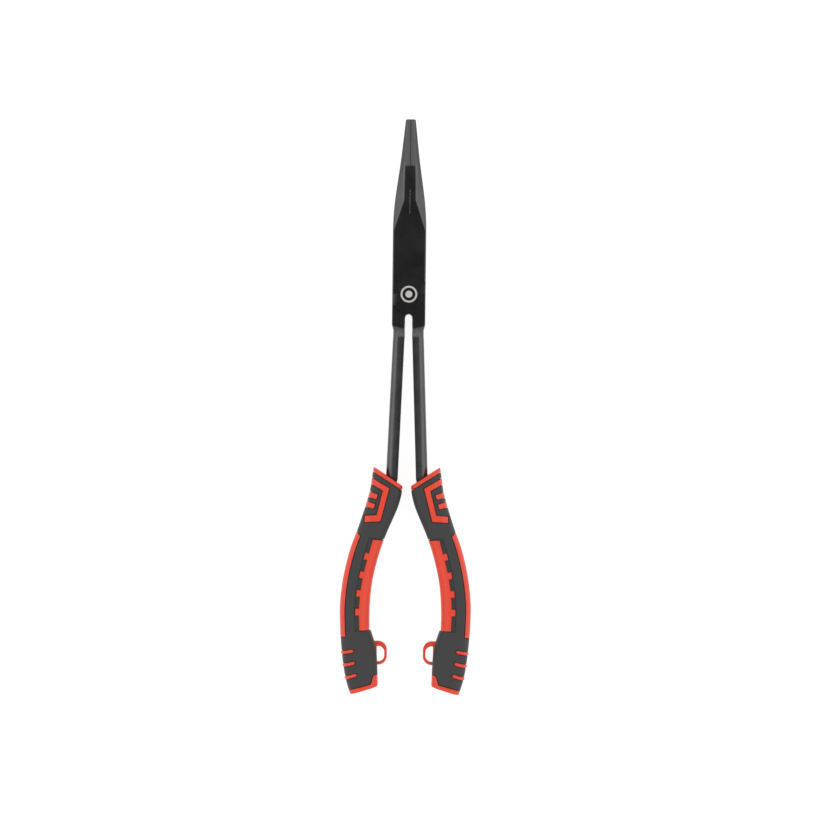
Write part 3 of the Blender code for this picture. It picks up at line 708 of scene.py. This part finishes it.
def loop_solid():
    """The lanyard loop: a plate with a hole, its edges rounded."""
    far, near, low, high = loop_edges()
    bottom, top = low + LOOP_HOLE_WALLS["low"], high - LOOP_HOLE_WALLS["high"]
    inner, outer = near - 0.1, far + LOOP_HOLE_WALLS["far"]
    corners = (
        (inner, bottom, 0.4), (inner, top, 0.4),
        (outer, top, LOOP_HOLE_CORNER), (outer, bottom, LOOP_HOLE_CORNER),
    )
    hole = flared_prism("loop_hole", rounded(corners, steps=8), LOOP_HALF, LOOP_HOLE_EDGE)
    plate = flared_prism("loop", loop_outline(), LOOP_HALF - OVERRUN, -LOOP_EDGE)
    return combined(plate, "DIFFERENCE", hole)


# %% Mould the core
SOCKET_FIT = 0.15


def core_solid():
    core = grip_solid("core", GRIP_WALL, -1)
    for outline in window_outlines():
        shown = grip_solid("shown", rim=RIM_ROUNDING)
        combined(shown, "INTERSECT", flared_prism("window", outline, GRIP_TOP, -EDGE_SOFTENING))
        combined(core, "UNION", shown)
    for outline in rib_outlines():
        fin = combined(fin_solid(), "INTERSECT", flared_prism("rib", outline, GRIP_TOP + 1, SHARP))
        combined(core, "UNION", fin)
    combined(core, "UNION", loop_solid())
    return combined(core, "DIFFERENCE", loft("socket", arm_sections(SOCKET_FIT)))


# %% [markdown]
# ## Putting a lever together
#
# The jaw and the arm are separate lofts that touch only through the cheek. The order is a
# machinist's: mill the shoulder away, leave the cheek, then cut the slot between the arms
# and bore and countersink the hole for the rivet.


# %% Machine one lever
LAP_SEGMENTS = 128
CHEEK_REACH = 12
RIVET_FIT = 0.03


def cheek_solid():
    """The half-thickness disc of the joint, trimmed to the head's rounded sides."""
    corners = (
        (-HEAD_SIDE, HEAD_TOP, 0.4), (HEAD_SIDE, HEAD_TOP, 0.4),
        (HEAD_SIDE, CHEEK_FIT, 0.1), (-HEAD_SIDE, CHEEK_FIT, 0.1),
    )
    section = rounded(corners, steps=3)
    slab = loft("cheek_slab", [[(x, y, z) for x, z in section] for y in (-CHEEK_REACH, CHEEK_REACH)])
    radius = LAP_RADIUS - LAP_FIT
    profile = (
        (0, HEAD_TOP), (radius - EDGE_BREAK, HEAD_TOP),
        (radius, HEAD_TOP - EDGE_BREAK), (radius, -1), (0, -1),
    )
    return combined(slab, "INTERSECT", turned("cheek_disc", profile, LAP_SEGMENTS))


def shoulder_cutter():
    """What the mill takes away on the side where the other lever's cheek lies."""
    radius = LAP_RADIUS + LAP_FIT
    past = EDGE_BREAK + 1
    profile = (
        (0, CHEEK_FIT), (radius, CHEEK_FIT), (radius, EDGE_BREAK - HEAD_TOP),
        (radius + past, EDGE_BREAK - HEAD_TOP - past), (0, EDGE_BREAK - HEAD_TOP - past),
    )
    return turned("shoulder", profile, LAP_SEGMENTS)


def slot_cutter():
    """The gap between the arms, with its round top."""
    low = -ROOT_LENGTH - 3
    corners = (
        (-SLOT_HALF, low, 0), (SLOT_HALF, low, 0),
        (SLOT_HALF, -SLOT_TOP, SLOT_HALF - 0.01), (-SLOT_HALF, -SLOT_TOP, SLOT_HALF - 0.01),
    )
    return flared_prism("slot", rounded(corners, steps=10), HEAD_TOP, EDGE_BREAK)


def rivet_hole():
    """The countersunk hole, a hair wider than the rivet."""
    mouth, bore = RIVET_HEAD + RIVET_FIT, RIVET_SHANK + RIVET_FIT
    upper = [(0, HEAD_TOP + 1), (mouth, HEAD_TOP + 1), (mouth, HEAD_TOP), (bore, HEAD_TOP - RIVET_HEAD_DEPTH)]
    return turned("rivet_hole", upper + [(r, -z) for r, z in reversed(upper)])


def lever_solid(phase):
    jaw = loft("lever", [jaw_section(y, inward) for y, inward in jaw_stations(phase)])
    lever = combined(jaw, "UNION", loft("arm", arm_sections()))
    combined(lever, "DIFFERENCE", shoulder_cutter())
    combined(lever, "UNION", cheek_solid())
    return combined(lever, "DIFFERENCE", slot_cutter(), rivet_hole())


# %% [markdown]
# ## The rivet
#
# The rivet is pressed in, ground flush and blacked with the levers, and a laser then etches
# a plain ring and a dot into its end. A profile spun about the axis makes the whole of it,
# and the etched faces are picked out by their depth, to take a finish of their own.

# %% Turn the rivet
MARK_DEPTH = 0.04
MARK_BANDS = ((0.0, 1.7), (3.15, 4.05))
RIVET_TOP = HEAD_TOP - 0.03
RIVET_CHAMFER = (0.15, 0.12)


def rivet_solid():
    etched_z = RIVET_TOP - MARK_DEPTH
    marked_end = []
    for inner, outer in MARK_BANDS:
        marked_end += [(inner, RIVET_TOP), (inner, etched_z)] if inner else [(0, etched_z)]
        marked_end += [(outer, etched_z), (outer, RIVET_TOP)]
    inward, downward = RIVET_CHAMFER
    side = [
        (RIVET_HEAD - inward, RIVET_TOP),
        (RIVET_HEAD, RIVET_TOP - downward),
        (RIVET_SHANK, HEAD_TOP - RIVET_HEAD_DEPTH),
    ]
    profile = marked_end + side + [(r, -z) for r, z in reversed(side)] + [(0, -RIVET_TOP)]
    return turned("rivet", profile)


# %% [markdown]
# ## Colours and node helper
#
# Colours are written as the sRGB hex values that a colour picker shows, and turned to the
# linear values that shaders work in. Every material below is built with one small helper
# that adds a node, sets it up and links it.


# %% Helpers for materials
def linear(hex_colour):
    channels = [int(hex_colour[i : i + 2], 16) / 255 for i in (1, 3, 5)]
    return (*(c / 12.92 if c <= 0.04045 else ((c + 0.055) / 1.055) ** 2.4 for c in channels), 1.0)


def add(tree, kind, settings=None, values=None, links=None):
    """Adds a node with its settings, the values of its sockets and the links into them."""
    node = tree.nodes.new(kind)
    for name, value in (settings or {}).items():
        setattr(node, name, value)
    for socket, value in (values or {}).items():
        node.inputs[socket].default_value = value
    for socket, source in (links or {}).items():
        tree.links.new(source, node.inputs[socket])
    return node


def new_material(name):
    made = bpy.data.materials.new(name)
    made.use_nodes = True
    made.node_tree.nodes.clear()
    return made, made.node_tree


def per_metre(millimetres):
    """The noise scale whose features are this many millimetres across."""
    return 1 / (millimetres * MM)


print(f"mid grey, #808080, is {linear('#808080')[0]:.3f} in linear light")


# %% [markdown]
# ## Black oxide on steel
#
# Blacking turns the steel's own surface into a thin dark oxide, which is then oiled. It
# keeps a metal's sharp reflections but gives back only about a tenth of the light, so it
# looks black where it faces a dark ceiling and grey where it leans towards a window. The
# grain is the fine blast texture under it, about 0.2 mm across, with softer cloudy patches
# 9 mm across where the oil lies thick or thin.


# %% The black oxide finish
def black_oxide():
    made, tree = new_material("black_oxide_steel")
    place = add(tree, "ShaderNodeTexCoord").outputs["Object"]
    clouds = add(
        tree, "ShaderNodeTexNoise", values={"Scale": per_metre(9), "Detail": 3.0, "Roughness": 0.55},
        links={"Vector": place},
    )
    grain = add(
        tree, "ShaderNodeTexNoise", values={"Scale": per_metre(0.22), "Detail": 2.0}, links={"Vector": place}
    )
    tint = add(
        tree, "ShaderNodeMix", {"data_type": "RGBA"}, {"A": linear("#525253"), "B": linear("#606061")},
        {"Factor": clouds.outputs["Fac"]},
    )
    sheen = add(
        tree, "ShaderNodeMapRange", values={"To Min": 0.18, "To Max": 0.26},
        links={"Value": clouds.outputs["Fac"]},
    )
    bump = add(
        tree, "ShaderNodeBump", values={"Strength": 0.35, "Distance": 0.01 * MM},
        links={"Height": grain.outputs["Fac"]},
    )
    shader = add(
        tree, "ShaderNodeBsdfPrincipled", values={"Metallic": 1.0},
        links={
            "Base Color": tint.outputs["Result"],
            "Roughness": sheen.outputs["Result"],
            "Normal": bump.outputs["Normal"],
        },
    )
    add(tree, "ShaderNodeOutputMaterial", links={"Surface": shader.outputs["BSDF"]})
    return made


# %% [markdown]
# ## The laser mark
#
# A laser breaks the oxide and leaves a pale, frosted grey. The beam's spots leave a grain of
# 0.15 mm, and the frost scatters light so evenly that it no longer looks like metal.


# %% The laser-etched finish
def laser_etch():
    made, tree = new_material("laser_etched_steel")
    place = add(tree, "ShaderNodeTexCoord").outputs["Object"]
    scan = add(
        tree, "ShaderNodeTexNoise", values={"Scale": per_metre(0.15), "Detail": 2.0}, links={"Vector": place}
    )
    tint = add(
        tree, "ShaderNodeMix", {"data_type": "RGBA"}, {"A": linear("#aca7a2"), "B": linear("#bbb6b0")},
        {"Factor": scan.outputs["Fac"]},
    )
    bump = add(
        tree, "ShaderNodeBump", values={"Strength": 0.3, "Distance": 0.008 * MM},
        links={"Height": scan.outputs["Fac"]},
    )
    shader = add(
        tree, "ShaderNodeBsdfPrincipled", values={"Metallic": 0.0, "Roughness": 0.7},
        links={"Base Color": tint.outputs["Result"], "Normal": bump.outputs["Normal"]},
    )
    add(tree, "ShaderNodeOutputMaterial", links={"Surface": shader.outputs["BSDF"]})
    return made


# %% [markdown]
# ## Moulded polypropylene
#
# The core is glass-filled polypropylene, coloured through. Its mould is spark-eroded to a
# fine satin, 0.3 mm across, which the eye reads as a soft highlight and never as a mirror.
# The colour and the gloss drift a little along the flow of the plastic.


# %% The red core's finish
def red_plastic():
    made, tree = new_material("moulded_red_polypropylene")
    place = add(tree, "ShaderNodeTexCoord").outputs["Object"]
    flow = add(
        tree, "ShaderNodeTexNoise", values={"Scale": per_metre(14), "Detail": 2.0}, links={"Vector": place}
    )
    satin = add(
        tree, "ShaderNodeTexNoise", values={"Scale": per_metre(0.3), "Detail": 3.0}, links={"Vector": place}
    )
    tint = add(
        tree, "ShaderNodeMix", {"data_type": "RGBA"}, {"A": linear("#d6391f"), "B": linear("#de3e23")},
        {"Factor": flow.outputs["Fac"]},
    )
    sheen = add(
        tree, "ShaderNodeMapRange", values={"To Min": 0.36, "To Max": 0.5},
        links={"Value": flow.outputs["Fac"]},
    )
    bump = add(
        tree, "ShaderNodeBump", values={"Strength": 0.3, "Distance": 0.01 * MM},
        links={"Height": satin.outputs["Fac"]},
    )
    shader = add(
        tree, "ShaderNodeBsdfPrincipled", values={"IOR": 1.49},
        links={
            "Base Color": tint.outputs["Result"],
            "Roughness": sheen.outputs["Result"],
            "Normal": bump.outputs["Normal"],
        },
    )
    add(tree, "ShaderNodeOutputMaterial", links={"Surface": shader.outputs["BSDF"]})
    return made


# %% [markdown]
# ## Soft grip rubber
#
# The sleeve is a thermoplastic elastomer, moulded against an etched tool: a matt skin with
# a leathery grain about a third of a millimetre across. Handling polishes it unevenly and
# leaves a little dust in it, so its roughness and its grey both drift. Dust also catches the
# light at the edges, which a faint sheen gives.


# %% The grey sleeve's finish
def grip_rubber():
    made, tree = new_material("matt_grip_elastomer")
    place = add(tree, "ShaderNodeTexCoord").outputs["Object"]
    grain = add(
        tree, "ShaderNodeTexVoronoi", {"feature": "SMOOTH_F1"}, {"Scale": per_metre(0.35), "Smoothness": 0.6},
        {"Vector": place},
    )
    dust = add(
        tree, "ShaderNodeTexNoise", values={"Scale": per_metre(11), "Detail": 4.0, "Roughness": 0.6},
        links={"Vector": place},
    )
    tint = add(
        tree, "ShaderNodeMix", {"data_type": "RGBA"}, {"A": linear("#282928"), "B": linear("#303130")},
        {"Factor": dust.outputs["Fac"]},
    )
    sheen = add(
        tree, "ShaderNodeMapRange", values={"To Min": 0.55, "To Max": 0.75},
        links={"Value": dust.outputs["Fac"]},
    )
    bump = add(
        tree, "ShaderNodeBump", values={"Strength": 0.5, "Distance": 0.03 * MM},
        links={"Height": grain.outputs["Distance"]},
    )
    shader = add(
        tree, "ShaderNodeBsdfPrincipled", values={"IOR": 1.5, "Sheen Weight": 0.12, "Sheen Roughness": 0.4},
        links={
            "Base Color": tint.outputs["Result"],
            "Roughness": sheen.outputs["Result"],
            "Normal": bump.outputs["Normal"],
        },
    )
    add(tree, "ShaderNodeOutputMaterial", links={"Surface": shader.outputs["BSDF"]})
    return made


# %% [markdown]
# ## Setting the pieces down
#
# A finished solid is carried from the rivet into the frame by its half's matrix, so that its
# object stays at the origin. It is then shaded smooth except across sharp edges. A weighted
# normal modifier keeps large flats flat in the light, however small the faces beside them.
# Last, the piece rides on its half and stands in for the frame's plain solid.

# %% A function that sets a piece down
SHARP_ANGLE = math.radians(22)


def set_down(solid, name, half, node, slot, *finishes):
    """One piece in its place in the frame, from a solid that is drawn about the rivet."""
    mesh = solid.data.copy()
    mesh.transform(TO_HALF[half])
    numbers = [face.material_index for face in mesh.polygons]
    mesh.materials.clear()
    for finish in finishes:
        mesh.materials.append(finish)
    mesh.polygons.foreach_set("material_index", numbers)
    mesh.shade_smooth()
    mesh.set_sharp_from_angle(angle=SHARP_ANGLE)
    piece = bpy.data.objects.new(name, mesh)
    bpy.context.scene.collection.objects.link(piece)
    flats = piece.modifiers.new("flat_faces_stay_flat", "WEIGHTED_NORMAL")
    flats.keep_sharp = True
    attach(piece, half)
    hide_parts(node)
    print(f"{name}: {len(mesh.polygons)} faces")


# %% The levers
steel = black_oxide()
for half, end, phase in (("front_half", "front", 1), ("rear_half", "rear", -1)):
    lever = lever_solid(phase)
    set_down(lever, f"{end}_forged_lever", half, f"{end}_lever", "lever_steel", steel)
    bpy.data.objects.remove(lever)

# %% The grips
red, grey = red_plastic(), grip_rubber()
core, sleeve = core_solid(), sleeve_solid()
for half, hand in (("front_half", "right"), ("rear_half", "left")):
    set_down(core, f"{hand}_red_core", half, f"{hand}_grip_core", "grip_core", red)
    set_down(sleeve, f"{hand}_grey_sleeve", half, f"{hand}_grip_overmould", "grip_overmould", grey)
for solid in (core, sleeve):
    bpy.data.objects.remove(solid)

# %% The rivet, with its mark
rivet = rivet_solid()
for face in rivet.data.polygons:
    if face.normal.z > 0.9 and face.center.z < RIVET_TOP - MARK_DEPTH / 2:
        face.material_index = 1
# The rear half's matrix turns a piece over, so the marked end is drawn face down first.
rivet.data.transform(Matrix.Rotation(math.pi, 4, "Y"))
set_down(rivet, "flush_rivet", "rear_half", "pivot_rivet", "rivet_steel", steel, laser_etch())
bpy.data.objects.remove(rivet)

# %% [markdown]
# ## The table and the light
#
# Small tools are often shot on a sheet of backlit white acrylic under a tent of white cloth,
# with a hole in the tent for the lens. The sheet's own glow lifts the shadows until they
# almost go. The hole matters more than it seems: flat polished faces that look straight up
# reflect it and go black, while every face that leans away catches the white cloth. Lamps
# outside the tent's left and right walls make those two brighter than the rest.

# %% A backlit table
TABLE_HALF = 2.5
bm = bmesh.new()
bmesh.ops.create_grid(bm, x_segments=1, y_segments=1, size=TABLE_HALF)
table = as_object("backlit_table", bm)
acrylic, tree = new_material("backlit_white_acrylic")
place = add(tree, "ShaderNodeTexCoord").outputs["Object"]
haze = add(tree, "ShaderNodeTexNoise", values={"Scale": 6.0}, links={"Vector": place})
white = add(
    tree, "ShaderNodeMix", {"data_type": "RGBA"}, {"A": linear("#7c7c7c"), "B": linear("#828282")},
    {"Factor": haze.outputs["Fac"]},
)
shader = add(
    tree, "ShaderNodeBsdfPrincipled",
    values={"Roughness": 0.8, "Emission Color": linear("#ffffff"), "Emission Strength": 0.88},
    links={"Base Color": white.outputs["Result"]},
)
add(tree, "ShaderNodeOutputMaterial", links={"Surface": shader.outputs["BSDF"]})
table.data.materials.append(acrylic)
print(f"the table is {2 * TABLE_HALF:.0f} m wide")

# %% A white tent with a dark hole overhead
world = bpy.data.worlds.new("white_tent")
world.use_nodes = True
bpy.context.scene.world = world
tree = world.node_tree
tree.nodes.clear()
direction = add(tree, "ShaderNodeTexCoord").outputs["Generated"]
towards = add(tree, "ShaderNodeSeparateXYZ", links={"Vector": direction})
tent = add(tree, "ShaderNodeValToRGB", links={"Fac": towards.outputs["Z"]})
stops = tent.color_ramp.elements
stops.remove(stops[1])
for place, glow in ((0.0, 0.42), (0.45, 0.8), (0.75, 1.0), (0.962, 1.0), (0.972, 0.03)):
    stop = stops.new(place) if place else stops[0]
    stop.position, stop.color = place, (glow, glow, glow, 1.0)
sideways = add(tree, "ShaderNodeMath", {"operation": "ABSOLUTE"}, links={0: towards.outputs["X"]})
lamps = add(
    tree, "ShaderNodeMapRange", values={"From Max": 0.85, "To Min": 1.05, "To Max": 1.6},
    links={"Value": sideways.outputs["Value"]},
)
background = add(
    tree, "ShaderNodeBackground", links={"Color": tent.outputs["Color"], "Strength": lamps.outputs["Result"]}
)
add(tree, "ShaderNodeOutputWorld", links={"Surface": background.outputs["Background"]})
bpy.context.scene.view_settings.view_transform = "Standard"
print("the tent's light has", len(stops), "stops from the table up to the hole")

# %% [markdown]
# ## The camera
#
# The camera looks straight down from well above, through a long lens, so that the tool's
# outline is its true plan. Its distance and the width that it takes in set the focal length.
# It is turned by part of a degree and set off by part of a millimetre, as a camera that is
# lined up by eye would be.

# %% The camera
VIEW_WIDTH = 0.3969
CAMERA_HEIGHT = 1.4
lens = bpy.data.cameras.new("overhead")
lens.sensor_width = 36.0
lens.lens = lens.sensor_width * CAMERA_HEIGHT / VIEW_WIDTH
camera = bpy.data.objects.new("overhead", lens)
camera.location = (-0.0003, -0.0003, pivot.z + CAMERA_HEIGHT)
camera.rotation_euler = (0, 0, math.radians(0.65))
bpy.context.scene.collection.objects.link(camera)
bpy.context.scene.camera = camera
print(f"a {lens.lens:.0f} mm lens, {CAMERA_HEIGHT} m above the rivet")
